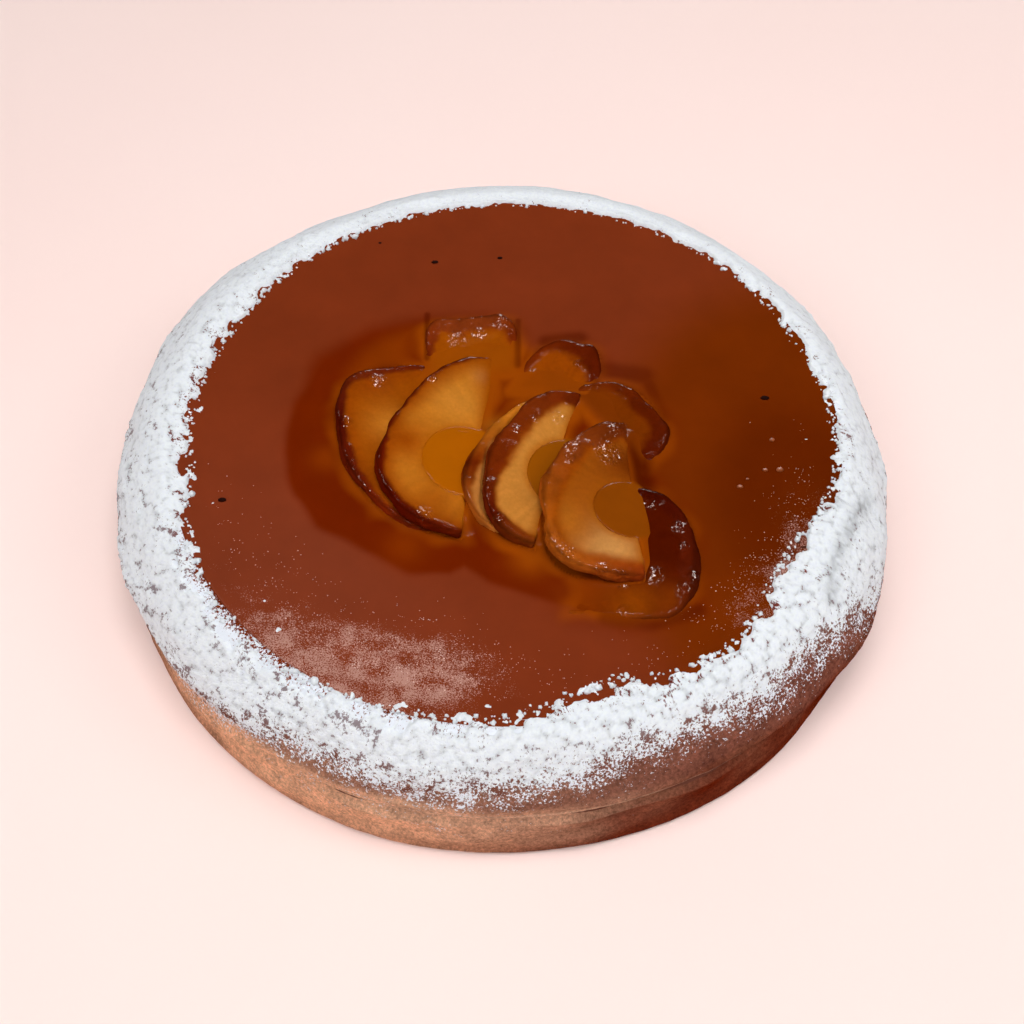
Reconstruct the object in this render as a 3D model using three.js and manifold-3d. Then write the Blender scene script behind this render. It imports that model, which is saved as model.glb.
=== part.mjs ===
// Apple tart: a baked crust with a rounded rim, a layer of caramel jelly in its top,
// and a fan of cooked apple slices half sunk in the jelly.
// Millimetres, +Z up. The origin is the middle of the flat underside, and -Y is the front.
import * as THREE from 'three';
import { mergeVertices } from 'three/addons/utils/BufferGeometryUtils.js';
import Module from 'manifold-3d';

// Driving dimensions of the crust
const BASE_RADIUS = 121;
const WALL_HEIGHT = 18;
const RIM_HEIGHT = 38.5;
const RIM_CREST_RADIUS = 103.5;
const SHOULDER_GROWTH = -1.0;
const SHOULDER_FULLNESS = 1.45;
const LEDGE_CREASE = 2.0;
const CREASE_SPAN = { direction: 300, width: 50, leastShare: 0.25 };
const FOOT_ROUND = 1.2;

// Driving dimensions of the jelly
const JELLY_RADIUS = 99;
const JELLY_LEVEL = 36.5;
const JELLY_DEPTH = 14;

// Driving dimensions of the apple slices
const SLICE_THICKNESS = 4.6;
const SLICE_EDGE_ROUND = 1.1;
const SKIN_WAVE = 0.022;

// Clearance between pieces that touch in the real tart
const GAP = 0.3;

const AROUND = 112;
const degrees = THREE.MathUtils.degToRad;

// The hand-pressed rim and foot are not true circles: direction, half width and growth of each bulge or dent
const RIM_BULGES = [
  { direction: 146, width: 18, growth: 4.0 },
  { direction: 190, width: 20, growth: 0.4 },
  { direction: 232, width: 14, growth: -0.8 },
  { direction: 278, width: 24, growth: -1.0 },
  { direction: 328, width: 14, growth: 2.4 },
  { direction: 8, width: 28, growth: -4.0 },
  { direction: 50, width: 22, growth: -2.0 },
];
const FOOT_BULGES = [
  { direction: 146, width: 30, growth: 1.5 },
  { direction: 206, width: 12, growth: -1.5 },
  { direction: 252, width: 18, growth: 1.0 },
  { direction: 324, width: 13, growth: -2.5 },
  { direction: 8, width: 30, growth: -1.5 },
];
// Slight unevenness of the dough all over the outside
const DOUGH_RELIEF = 0.35;

// A crack that runs outwards across the rim on the right
const CRACK = { direction: 346, width: 2.6, depth: 1.6 };

// Apple slices, lowest first. "at" is the middle of the straight cut, on the upper face.
// "turn" is the direction of the straight cut, and the skin lies to its left.
// "tilt" raises the skin side, and "slope" lowers the far end of the straight cut.
// "skew" moves the deepest point along the cut, and "round" is smaller for squarer corners.
const SLICES = [
  { name: 'apple_slice_front_low', at: [20, -42, 37.0], turn: 263, tilt: 2, slope: 2,
    halfLength: 23.5, depth: 34.5, skew: 4, round: 0.6 },
  { name: 'apple_slice_back_1', at: [-10.5, 22, 34.4], turn: 2, tilt: 11, slope: 0,
    halfLength: 15.5, depth: 25, skew: 0, round: 0.35 },
  { name: 'apple_slice_back_2', at: [14.8, 13.5, 35.2], turn: -14, tilt: 9, slope: 0,
    halfLength: 13.5, depth: 24, skew: 2, round: 0.8 },
  { name: 'apple_slice_back_3', at: [29.5, 0.5, 35.6], turn: -54, tilt: 8, slope: 0,
    halfLength: 18.5, depth: 18.5, skew: 0, round: 0.75 },
  { name: 'apple_slice_1', at: [-20.6, -4.5, 36.3], turn: 98, tilt: 9.5, slope: 0,
    halfLength: 33, depth: 30.5, skew: 11, round: 0.9 },
  { name: 'apple_slice_2', at: [-7.3, -4.5, 38.0], turn: 80.8, tilt: 11.5, slope: 3,
    halfLength: 36, depth: 29.5, skew: -10, round: 1.0, notch: { along: -9, inward: 4, radius: 12 } },
  { name: 'apple_slice_3', at: [14, -14, 36.5], turn: 76, tilt: 10, slope: 1.5,
    halfLength: 28, depth: 25, skew: -6, round: 0.9 },
  { name: 'apple_slice_4', at: [15.8, -14.5, 38.6], turn: 75.4, tilt: 13, slope: 1.5,
    halfLength: 30, depth: 21, skew: -5, round: 0.9, notch: { along: -2, inward: -4, radius: 12 } },
  { name: 'apple_slice_5', at: [38.3, -26, 39.2], turn: 93.5, tilt: 13, slope: 0,
    halfLength: 28.5, depth: 29, skew: -9, round: 0.9, notch: { along: -5, inward: 3.5, radius: 9 } },
];

const COLOURS = {
  crust: { color: 0xb9784a, roughness: 0.85 },
  jelly: { color: 0x7a3212, roughness: 0.3 },
  apple: { color: 0xb5702a, roughness: 0.35 },
};

const wasm = await Module();
wasm.setup();

function material({ color, roughness }) {
  return new THREE.MeshStandardMaterial({ color, roughness, metalness: 0 });
}

// Smooth hump of height 1 round a direction, in degrees
function hump(angle, direction, width) {
  const away = ((angle - direction + 540) % 360) - 180;
  return Math.exp(-((away / width) ** 2));
}

function totalGrowth(bulges, angle) {
  return bulges.reduce((sum, b) => sum + b.growth * hump(angle, b.direction, b.width), 0);
}

// Uneven swelling of the dough at a direction and a height
function doughRelief(angle, z) {
  const a = degrees(angle);
  const broad = Math.sin(9 * a + 0.35 * z) + Math.sin(16 * a - 0.5 * z + 1.3);
  return DOUGH_RELIEF * (broad + 0.7 * Math.sin(23 * a + 2.1));
}

// Outline of the crust in one direction, from the middle of the underside to the middle of the recess floor
function crustProfile(angle) {
  const growth = totalGrowth(RIM_BULGES, angle);
  const foot = BASE_RADIUS + totalGrowth(FOOT_BULGES, angle);
  const wall = foot - 0.8;
  const creaseShare = hump(angle, CREASE_SPAN.direction, CREASE_SPAN.width);
  const crease = LEDGE_CREASE * Math.max(CREASE_SPAN.leastShare, creaseShare);
  const shoulder = BASE_RADIUS + SHOULDER_GROWTH + growth;
  const crest = RIM_CREST_RADIUS + 0.35 * growth;
  const crack = CRACK.depth * hump(angle, CRACK.direction, CRACK.width);
  const points = [
    [foot - FOOT_ROUND, 0],
    [foot - 0.6, FOOT_ROUND * 0.4],
    [foot, FOOT_ROUND * 1.4],
    [wall + doughRelief(angle, WALL_HEIGHT * 0.5), WALL_HEIGHT * 0.5],
    [wall + doughRelief(angle, WALL_HEIGHT), WALL_HEIGHT - 1.6],
    [Math.min(wall, shoulder) - crease, WALL_HEIGHT],
  ];
  const shoulderLow = WALL_HEIGHT + 4;
  points.push([shoulder - 0.4 * crease, WALL_HEIGHT + 1.6]);
  const shoulderSteps = 7;
  for (let i = 0; i <= shoulderSteps; i += 1) {
    const t = (Math.PI / 2) * (i / shoulderSteps);
    const r = crest + (shoulder - crest) * Math.cos(t) ** SHOULDER_FULLNESS;
    const z = shoulderLow + (RIM_HEIGHT - shoulderLow) * Math.sin(t) ** SHOULDER_FULLNESS;
    points.push([r + doughRelief(angle, z) * Math.cos(t), z - crack * Math.sin(t)]);
  }
  points.push([JELLY_RADIUS + 2, RIM_HEIGHT - 0.5 - crack]);
  points.push([JELLY_RADIUS + GAP, JELLY_LEVEL - 0.4]);
  points.push([JELLY_RADIUS + GAP, JELLY_LEVEL - JELLY_DEPTH - GAP]);
  return points;
}

// Profile of the jelly: a disc with a rounded upper edge
function jellyProfile() {
  const floor = JELLY_LEVEL - JELLY_DEPTH;
  return [
    [JELLY_RADIUS, floor],
    [JELLY_RADIUS, JELLY_LEVEL - 0.8],
    [JELLY_RADIUS - 1.2, JELLY_LEVEL],
  ];
}

// Closed solid whose profile is given for each direction, with its first and last ring closed to the axis
function turnedSolid(profileAt, around) {
  const positions = [];
  const index = [];
  const rings = profileAt(0).length;
  for (let a = 0; a < around; a += 1) {
    const angle = (360 * a) / around;
    for (const [r, z] of profileAt(angle)) {
      positions.push(r * Math.cos(degrees(angle)), r * Math.sin(degrees(angle)), z);
    }
  }
  const low = around * rings;
  const high = low + 1;
  positions.push(0, 0, profileAt(0)[0][1], 0, 0, profileAt(0)[rings - 1][1]);
  for (let a = 0; a < around; a += 1) {
    const here = a * rings;
    const next = ((a + 1) % around) * rings;
    index.push(low, next, here);
    for (let k = 0; k < rings - 1; k += 1) {
      index.push(here + k, next + k, next + k + 1, here + k, next + k + 1, here + k + 1);
    }
    index.push(high, here + rings - 1, next + rings - 1);
  }
  const geometry = new THREE.BufferGeometry();
  geometry.setAttribute('position', new THREE.Float32BufferAttribute(positions, 3));
  geometry.setIndex(index);
  return geometry;
}

// Half-moon outline with a wavy skin edge and, on some slices, the round notch of the core
function sliceOutline({ halfLength, depth, skew, round, notch }, phase) {
  const points = [];
  const arcSteps = 26;
  for (let i = 0; i <= arcSteps; i += 1) {
    const t = Math.PI * (i / arcSteps);
    const wave = 1 + SKIN_WAVE * Math.sin(t) * (Math.sin(5 * t + phase) + 0.6 * Math.sin(9 * t + 2 * phase));
    const along = halfLength * Math.sign(Math.cos(t)) * Math.abs(Math.cos(t)) ** round;
    points.push(new THREE.Vector2(along + skew * Math.sin(t) ** 2, depth * Math.sin(t) ** round * wave));
  }
  if (!notch) return points;
  const notchSteps = 11;
  const reach = Math.PI / 2 + Math.asin(notch.inward / notch.radius);
  for (let i = 0; i <= notchSteps; i += 1) {
    const t = Math.PI / 2 + reach * (1 - (2 * i) / notchSteps);
    const x = notch.along + notch.radius * Math.cos(t);
    points.push(new THREE.Vector2(x, notch.inward + notch.radius * Math.sin(t)));
  }
  return points;
}

// The same outline, moved outwards by "grow" all round
function swollen(points, grow) {
  return points.map((point, i) => {
    const before = points[(i + points.length - 1) % points.length];
    const after = points[(i + 1) % points.length];
    const sideIn = point.clone().sub(before).normalize();
    const sideOut = after.clone().sub(point).normalize();
    const normalIn = new THREE.Vector2(sideIn.y, -sideIn.x);
    const normal = normalIn.clone().add(new THREE.Vector2(sideOut.y, -sideOut.x)).normalize();
    return point.clone().addScaledVector(normal, grow / Math.max(0.4, normal.dot(normalIn)));
  });
}

// A slice in its place, its upper face level with "at"; "grow" swells it on every side
function sliceSolid(slice, order, grow) {
  const round = SLICE_EDGE_ROUND;
  const geometry = new THREE.ExtrudeGeometry(new THREE.Shape(swollen(sliceOutline(slice, order), grow)), {
    depth: SLICE_THICKNESS - 2 * round + 2 * grow,
    bevelThickness: round,
    bevelSize: round,
    bevelOffset: -round,
    bevelSegments: 2,
  });
  geometry.translate(0, 0, round - SLICE_THICKNESS - grow);
  const place = new THREE.Object3D();
  place.rotation.order = 'ZXY';
  place.rotation.set(degrees(slice.tilt), degrees(slice.slope), degrees(slice.turn));
  place.position.set(...slice.at);
  place.updateMatrix();
  geometry.applyMatrix4(place.matrix);
  return toSolid(geometry);
}

function toSolid(geometry) {
  const bare = new THREE.BufferGeometry();
  bare.setAttribute('position', geometry.getAttribute('position').clone());
  if (geometry.index) bare.setIndex(geometry.index.clone());
  const merged = mergeVertices(bare, 1e-4);
  return new wasm.Manifold(new wasm.Mesh({
    numProp: 3,
    vertProperties: new Float32Array(merged.getAttribute('position').array),
    triVerts: new Uint32Array(merged.index.array),
  }));
}

// The largest of the bodies that a cut leaves
function largestBody(solid) {
  return solid.decompose().reduce((best, body) => (body.volume() > best.volume() ? body : best));
}

function toMesh(name, solid, look) {
  const { vertProperties, triVerts } = solid.getMesh();
  const geometry = new THREE.BufferGeometry();
  geometry.setAttribute('position', new THREE.Float32BufferAttribute(vertProperties, 3));
  geometry.setIndex(new THREE.Uint32BufferAttribute(triVerts, 1));
  geometry.computeVertexNormals();
  const mesh = new THREE.Mesh(geometry, material(look));
  mesh.name = name;
  return mesh;
}

// Each slice is pressed in where a higher slice lies on it
function pressedSlices() {
  return SLICES.map((slice, order) => {
    let solid = sliceSolid(slice, order, 0);
    SLICES.forEach((above, aboveOrder) => {
      if (aboveOrder > order) solid = solid.subtract(sliceSolid(above, aboveOrder, GAP));
    });
    return toMesh(slice.name, largestBody(solid), COLOURS.apple);
  });
}

// The jelly with a pocket round every slice
function pocketedJelly() {
  let solid = toSolid(turnedSolid(jellyProfile, AROUND));
  SLICES.forEach((slice, order) => {
    solid = solid.subtract(sliceSolid(slice, order, GAP));
  });
  return toMesh('caramel_jelly', largestBody(solid), COLOURS.jelly);
}

const tart = new THREE.Group();
tart.add(toMesh('crust', toSolid(turnedSolid(crustProfile, AROUND)), COLOURS.crust));
tart.add(pocketedJelly());
pressedSlices().forEach((slice) => tart.add(slice));

export default tart;
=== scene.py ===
"""Looks of the apple tart: baked crust, icing sugar, caramel jelly and cooked apple slices.

Shapes are worked out in millimetres, in the frame of the solids, and become metres in the meshes.
Directions round the tart are in degrees from +X, and the front is -Y.
"""
import math

import bmesh
import bpy
import numpy as np
from mathutils import Matrix, Vector


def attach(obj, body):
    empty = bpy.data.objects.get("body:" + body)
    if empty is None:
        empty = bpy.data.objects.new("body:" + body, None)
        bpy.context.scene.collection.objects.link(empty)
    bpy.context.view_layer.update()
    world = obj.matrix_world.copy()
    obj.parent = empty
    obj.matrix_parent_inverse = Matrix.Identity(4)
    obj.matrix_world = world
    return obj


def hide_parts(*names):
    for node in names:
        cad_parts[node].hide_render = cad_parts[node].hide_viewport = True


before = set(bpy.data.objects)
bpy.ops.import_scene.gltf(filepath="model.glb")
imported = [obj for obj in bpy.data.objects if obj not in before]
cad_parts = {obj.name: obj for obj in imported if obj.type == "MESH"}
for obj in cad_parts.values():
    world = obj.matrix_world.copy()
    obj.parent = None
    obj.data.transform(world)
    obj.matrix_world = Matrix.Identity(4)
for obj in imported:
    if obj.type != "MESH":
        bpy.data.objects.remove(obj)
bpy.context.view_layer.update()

MM = 0.001
BODY = "root"

# Crust, with the same sizes as its solid but for a softer crease
BASE_RADIUS = 121.0
WALL_HEIGHT = 18.0
WALL_LEAN = 0.8
LEDGE_HEIGHT = 4.0
RIM_HEIGHT = 38.5
RIM_CREST_RADIUS = 103.5
RIM_MIDDLE_RADIUS = 108.0
CREST_SHARE_OF_GROWTH = 0.35
SHOULDER_GROWTH = -1.0
SHOULDER_FULLNESS = 1.45
LEDGE_CREASE, CREASE_LEAST_SHARE, CREASE_HALF_HEIGHT = 1.5, 0.1, 1.6
CRACK_DEPTH = 1.6
FOOT_ROUND = 1.2
DOUGH_RELIEF = 0.35
CRUST_AROUND = 640

# Direction, half width and growth of each bulge or dent of the outline
RIM_BULGES = [(146, 18, 4.0), (190, 20, 0.4), (232, 14, -0.8), (278, 24, -1.0),
              (328, 14, 2.4), (8, 28, -4.0), (50, 22, -2.0)]
FOOT_BULGES = [(146, 30, 1.5), (206, 12, -1.5), (252, 18, 1.0), (324, 13, -2.5), (8, 30, -1.5)]

# Parts of the ring that differ from the rest: direction and half width
CREASE_SPAN, CRACK_SPAN = (312, 34), (346, 2.6)
# The gold at the left is partly the dough's colour and partly painted light from the left, with the right
# painted darker
GOLDEN_AND_LIT_LEFT, GOLDEN_BACK = (242, 44), (90, 65)
# The pale line along the ledge's top is partly flour and partly a painted highlight
FLOURY_FRONT, PALE_LEDGE, LEDGE_HIGHLIGHT_LINE = (270, 14), (267, 22), (276, 26)
LOOSE_SUGAR, LINGERING_SUGAR, DUSTED_WALL = (240, 34), (314, 26), (250, 36)
EVEN_BACK, CLOSE_BACK, PITTED_LEFT, DRAWN_OUT_GRAINS = (80, 60), (80, 70), (195, 40), (305, 45)
DUSTED_JELLY_LEFT, DUSTED_JELLY_RIGHT, HAZY_LEFT = (240, 32), (328, 24), (225, 40)
# The dough's gold, with the painted light from the left, ends between these directions
GOLD_AND_LIGHT_END = (288, 258)

# Jelly, with the same sizes as its solid
JELLY_RADIUS = 99.0
JELLY_LEVEL = 36.5
JELLY_DEPTH = 14.0
RECESS_FLOOR = JELLY_LEVEL - JELLY_DEPTH
JELLY_AROUND, JELLY_ACROSS = 560, 130
# The jelly clings to the rim's inner slope
JELLY_CLING_START, JELLY_CLING_END, JELLY_CLING_RISE = 91.0, 101.4, 1.75

# Apple slices, with the places and outlines of their solids. "at" is the middle of the straight cut, which
# "turn", "tilt" and "slope" turn round Z, X and Y; "skew" moves the deepest point along the cut, "round" is
# smaller for squarer corners, and "notch" is the core's place along and inwards, and its radius. From one end
# of the skin edge to the other, "rind" is its width and "peel" its colour; "stain" is how far its colour runs
# into the flesh, "plump" how far the outer end swells, "pool" the colour of the jelly in the core's notch,
# and "spots" are other colours of the flesh, one of them painted shade, as x, y, radius and colour
SLICES = {
    "apple_slice_front_low": dict(
        at=(20, -42, 37.0), turn=263, tilt=2, slope=2, half_length=23.5, depth=34.5, skew=4, round=0.6,
        flesh=(76, 17, 1), rind=(1, 2, 5, 4, 3), plump=0.8,
        peel=[(140, 62, 8), (112, 42, 8), (84, 22, 4), (70, 13, 2), (66, 11, 1)],
        spots=[(22, -58, 10, (126, 48, 2)), (36, -62, 8, (130, 57, 6)), (47, -62, 5, (116, 46, 6))]),
    "apple_slice_back_1": dict(
        at=(-10.5, 22, 34.4), turn=2, tilt=11, slope=0, half_length=15.5, depth=25, skew=0, round=0.35,
        flesh=(157, 78, 5), rind=(4, 5, 6, 4.5, 3),
        peel=[(104, 30, 4), (120, 44, 8), (128, 52, 16), (122, 46, 12), (106, 34, 6)]),
    "apple_slice_back_2": dict(
        at=(14.8, 13.5, 35.2), turn=-14, tilt=9, slope=0, half_length=13.5, depth=24, skew=2, round=0.8,
        flesh=(138, 60, 3), rind=(5, 7, 6, 3, 1), peel=[(82, 20, 2), (94, 26, 2), (112, 40, 6)]),
    "apple_slice_back_3": dict(
        at=(29.5, 0.5, 35.6), turn=-54, tilt=8, slope=0, half_length=18.5, depth=18.5, skew=0, round=0.75,
        flesh=(116, 47, 2), rind=(8, 8, 6, 4, 2), peel=[(80, 19, 2), (90, 26, 2), (104, 38, 4)]),
    "apple_slice_1": dict(
        at=(-20.6, -4.5, 36.3), turn=98, tilt=9.5, slope=0, half_length=33, depth=30.5, skew=11, round=0.9,
        flesh=(150, 71, 6), rind=(2, 4.2, 2.8, 2.2, 2.4), stain=6,
        peel=[(90, 24, 3), (104, 34, 8), (78, 15, 4), (108, 30, 5), (112, 34, 6)],
        spots=[(-41, 20, 6, (140, 60, 10)), (-35, 2, 7, (186, 110, 30))]),
    "apple_slice_2": dict(
        at=(-7.3, -4.5, 38.0), turn=80.8, tilt=11.5, slope=3, half_length=36, depth=29.5, skew=-10, round=1.0,
        flesh=(186, 108, 26), rind=(1.2, 1.4, 2, 2.2, 1.8), stain=7,
        peel=[(86, 22, 3), (100, 34, 5), (90, 20, 2), (84, 13, 1), (98, 26, 3)],
        spots=[(-15, 10, 9, (194, 122, 40)), (-21, -29, 7, (166, 86, 14)), (-30, -8, 7, (150, 68, 5)),
               (-6.5, 22, 3.5, (190, 124, 62))],
        notch=(-9, 4, 12), pool=(166, 86, 2)),
    "apple_slice_3": dict(
        at=(14, -14, 36.5), turn=76, tilt=10, slope=1.5, half_length=28, depth=25, skew=-6, round=0.9,
        flesh=(180, 113, 50), rind=(3, 4, 3, 0.4, 0.2), stain=2,
        peel=[(184, 106, 24), (186, 108, 26), (112, 36, 3), (150, 76, 20), (176, 108, 46)]),
    "apple_slice_4": dict(
        at=(15.8, -14.5, 38.6), turn=75.4, tilt=13, slope=1.5, half_length=30, depth=21, skew=-5, round=0.9,
        flesh=(190, 122, 48), rind=(6, 6, 4.5, 3, 2), stain=3,
        peel=[(98, 30, 4), (118, 44, 8), (112, 38, 5), (84, 18, 3), (130, 56, 12)],
        notch=(-2, -4, 12), pool=(141, 74, 5)),
    "apple_slice_5": dict(
        at=(38.3, -26, 39.2), turn=93.5, tilt=13, slope=0, half_length=28.5, depth=29, skew=-9, round=0.9,
        flesh=(148, 74, 12), rind=(9, 6, 3, 3.2, 3), stain=4,
        peel=[(108, 40, 7), (130, 56, 13), (154, 74, 12), (162, 80, 20), (138, 50, 11)],
        # The dark spot at (41, -15) is painted shade on the slice's right side, by its cut
        spots=[(30, -46.5, 8.5, (202, 140, 74)), (35, -14, 8, (118, 52, 6)), (17, -38, 6, (166, 92, 22)),
               (41, -15, 5, (82, 19, 1))],
        notch=(-5, 3.5, 9), pool=(130, 62, 4)),
}
# Size of the faces of the slices, and how far their sparkles are drawn out along the skin
SLICE_VOXEL, SPARKLE_STRETCH = 0.6, 3
# Wet, crinkled places on the slices, which sparkle: x, y and radius
GLINTS = [(-40, 19, 2.6), (-34, 26, 1.6), (-49, 1, 1.9), (-47, -15, 1.5), (-42, -24, 2.2), (-24, -35, 2.9),
          (-17, -41, 1.8), (-16, 38, 3.2), (-9, 40, 2.2), (-2, 44, 2.4), (-23, 18, 1.7), (8, 24, 1.4),
          (22, 27, 1.2), (2, 9, 1.8), (16, 4, 2.4), (9, 2, 1.4), (3, -3, 1.4), (28, 14, 1.2), (19, -11, 3.0),
          (31, -11, 4.8), (33, -2, 2.6), (-6, -24, 2.1), (-2, -36, 1.8), (19, -16, 1.8), (13, -45, 2.7),
          (17, -49, 2.8), (39, -28, 2.3), (43, -29, 1.4), (50, -37, 2.1), (51, -44, 1.4), (50, -58, 2.6),
          (53, -54, 1.5), (42, -53, 2.8), (33, -55, 2.0), (27, -54, 2.6), (33, -64, 1.6)]

# Colours as they look in the photo's light, sRGB numbers from 0 to 255
FLESH_BY_SKIN = (140, 60, 3)
FLESH_BY_CORE = (164, 86, 8)
FLESH_WET = (146, 68, 3)
GLAZE_LEFT = (120, 47, 20)
GLAZE_RIGHT = (109, 40, 2)
GLAZE_FAR_RIGHT = (95, 31, 1)
HALO_DARK = (105, 29, 1)
HALO_AMBER = (146, 64, 3)
SUNK_AMBER = (126, 48, 1)
SHADE = (74, 13, 0)
DUST_FILM = (198, 152, 138)
DUST_GRAIN_DARK, DUST_GRAIN_LIGHT = (196, 138, 120), (232, 200, 188)
DOUGH_GOLD = (228, 172, 136)
# Brown of the dough, which towards the foot is also painted shade
DOUGH_BROWN_AND_SHADE = (101, 30, 6)
DOUGH_FLOURY = (208, 160, 130)
# Pale line along the ledge's top, partly flour and partly a painted highlight
LEDGE_HIGHLIGHT_PALE = (228, 190, 162)
# The grey amid the sugar is painted shade in the pits between its clumps
GAP_BY_JELLY, GAP_SHADE_AMID_SUGAR, GAP_ON_SLOPE = (116, 54, 46), (146, 132, 136), (122, 74, 60)
SUGAR_WHITE, SUGAR_GREY = (242, 246, 253), (235, 239, 247)
# Surfaces are lighter than they look by this much, as less than full light falls on them, up to the lightest
LIGHT_GAIN, LIGHTEST = 1.02, 0.96

# Middle and reach of the clearer glaze at the right
CLEAR_CENTRE, CLEAR_REACH = (85, -25), (45, 70)
# Edge of the darker, clearer jelly round the fan of slices
HALO_OUTLINE = [(-26, 48), (-44, 43), (-60, 31), (-66, 12), (-67, -8), (-63, -24), (-55, -35), (-44, -42),
                (-28, -51), (-16, -52), (-12, -49), (-5, -55), (14, -62), (33, -70), (45, -67), (54, -63),
                (54, -40), (40, -10), (20, 20), (0, 45)]
# A slice wholly sunk in the jelly, behind the left end of the fan
SUNK_OUTLINE = [(-52, 8), (-55, 25), (-49, 36), (-41, 43), (-32, 47), (-26, 48), (-25.5, 24), (-36, 12)]
# Lighter and darker places in the jelly beside the slices: x, y, radius and colour
JELLY_SPOTS = [(7.5, -46, 6, (148, 66, 4)), (-29, -42, 6, (124, 44, 1)), (-54, -10, 5, (126, 47, 2)),
               (-58, 7, 6, (108, 31, 0)), (15.5, -58, 4.5, (112, 37, 3)), (-2.5, 1, 4, (172, 98, 22))]
# Painted shade in the jelly's colour, as dark strokes beside the slices: start, end, half width and strength
PAINTED_SHADE_STROKES = [((38.5, 2), (41, -22), 3.6, 0.85), ((25.5, 32), (27, 18), 2.6, 0.75),
                ((13, 37), (23, 38.5), 3.0, 0.6), ((31, 25), (43, 23), 3.5, 0.5),
                ((-25.8, 49), (-25.2, 30), 1.0, 0.65), ((44, 21), (48.5, 5), 2.0, 0.4),
                ((3.6, 46), (3.4, 27), 1.1, 0.6), ((28, -67), (41, -68.5), 2.4, 0.45),
                ((41, -68.5), (54, -64), 2.2, 0.5)]

# Sugar: where its coat starts and ends across the rim, in mm outwards from the edge of the jelly, how wide
# its clumped inner edge is, how far it thins out round its end, and how thick its shell is
SUGAR_START = 0.8
SUGAR_START_BULGES = [(232, 30, 7.2), (286, 12, -6.0), (330, 13, -5.5), (160, 18, -1.2), (190, 9, -3.0),
                      (268, 10, 1.5), (310, 7, 1.2), (355, 16, 2.2), (38, 14, 1.0), (88, 30, -0.6)]
SUGAR_END = 34.0
SUGAR_END_BULGES = [(288, 34, -16.5), (242, 16, -8.5), (320, 14, -9.0), (297, 8, -2.5)]
SUGAR_INNER_EDGE = 11.0
SUGAR_INNER_EDGE_BULGES = [(85, 55, -6.5), (240, 24, 7.0), (292, 16, 3.0)]
SUGAR_THINS_BEFORE, SUGAR_THINS_AFTER = 18.0, 24.0
SUGAR_THICKNESS, SUGAR_UNDERSIDE = 0.8, -1.4
SUGAR_INSIDE, SUGAR_OUTSIDE = -10.0, 36.0
COAT_AROUND, COAT_ACROSS, COAT_ACROSS_BELOW = 1040, 88, 8
# Shares of sugar that leave no specks at all, and hardly a gap
NO_DUST, FULL_DUST = -0.55, 1.2
SUGAR_GRAIN = 0.7
# Places that are tried for loose clumps and for single grains
CLUMP_TRIES, GRAIN_TRIES = 12000, 130000
# Fine sugar in front on the jelly: its middle and its reach, and how its streaks are drawn out
DUST_PATCH_CENTRE, DUST_PATCH_REACH = (-25, -80), (26, 12)
DUST_STREAK_STRETCH = (3.0, 1.0)
# Fold in the sugar at the right, as points seen from above
SUGAR_FOLD = [(108, -23), (103.5, -30.5), (96.5, -43.5), (93, -51.5), (91.5, -60)]

# Small things on the jelly: x, y and length of each
SPECKS = [(-24, 72.6, 1.1), (-2.3, 74.5, 0.8), (80.3, 13.5, 1.3), (-84, -25.7, 1.2), (-42.8, 81.6, 0.6)]
DROPS = [(69.5, -20.9, 0.9), (77.6, -14.6, 0.8), (82, -14.6, 1.1), (80.8, -3.1, 0.8), (72, -18, 0.5)]
CRUMBS = [(86.1, -43.2, 1.3), (88.2, -44.6, 0.9), (90.4, -46.0, 1.1), (84.8, -41.4, 0.7)]

SPECK_DARK, SYRUP_AMBER, CRUMB_BROWN = (34, 8, 3), (150, 74, 30), (70, 32, 20)

FLOOR_LIGHT, FLOOR_DEEP = (242, 219, 213), (239, 210, 203)
FLOOR_GLOW, FLOOR_GLOW_STRENGTH = (1.0, 0.85, 0.815, 1), 0.17
FLOOR_REACH = 6000.0
# Light from the room's walls and from its ceiling, and how far upwards a direction points where the walls end
# and where the ceiling starts, from 0 to 1
ROOM_COLOUR, WALL_LIGHT, CEILING_LIGHT = (1.0, 0.97, 0.955, 1), 0.3, 0.05
WALL_END, CEILING_START = 0.45, 0.75
# Square lights: name, place, size, watts, and whether they only show as highlights
LIGHTS = [("overhead", (60, -130, 1100), 650, 8.0, False),
          ("key", (-530, -530, 820), 450, 2.7, False),
          ("fill", (680, -60, 760), 450, 1.9, False),
          ("highlight_left", (-450, 150, 900), 320, 11, True),
          ("highlight_right", (250, 60, 1000), 320, 11, True),
          ("highlight_back", (150, 1000, 300), 320, 8, True)]

CAMERA_ELEVATION = 54.27
CAMERA_DISTANCE = 495.0
CAMERA_AIM = (1.7, 0.0, -5.3)
CAMERA_LENS, CAMERA_SENSOR = 53.05, 36.0


# Helpers for numbers

def seen(srgb):
    """Linear colour of a surface that looks like the sRGB numbers in the scene's light."""
    c = np.asarray(srgb, float) / 255
    linear = np.where(c <= 0.04045, c / 12.92, ((c + 0.055) / 1.055) ** 2.4)
    return np.minimum(linear * LIGHT_GAIN, LIGHTEST)


def rgba(srgb):
    return (*seen(srgb), 1.0)


def smoothstep(low, high, x):
    t = np.clip((x - low) / (high - low), 0, 1)
    return t * t * (3 - 2 * t)


def blend(first, second, share):
    """Mix of two colours, a row for each share."""
    share = np.asarray(share)[:, None]
    return np.asarray(first) * (1 - share) + np.asarray(second) * share


def toward(colours, srgb, share):
    """Colours that turn by a share into the one that looks like the sRGB numbers."""
    return blend(colours, seen(srgb), share)


def stained(colours, srgb, share):
    """Colours that turn by a share into another one, but only where that makes them darker."""
    return blend(colours, np.minimum(colours, seen(srgb)), share)


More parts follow.
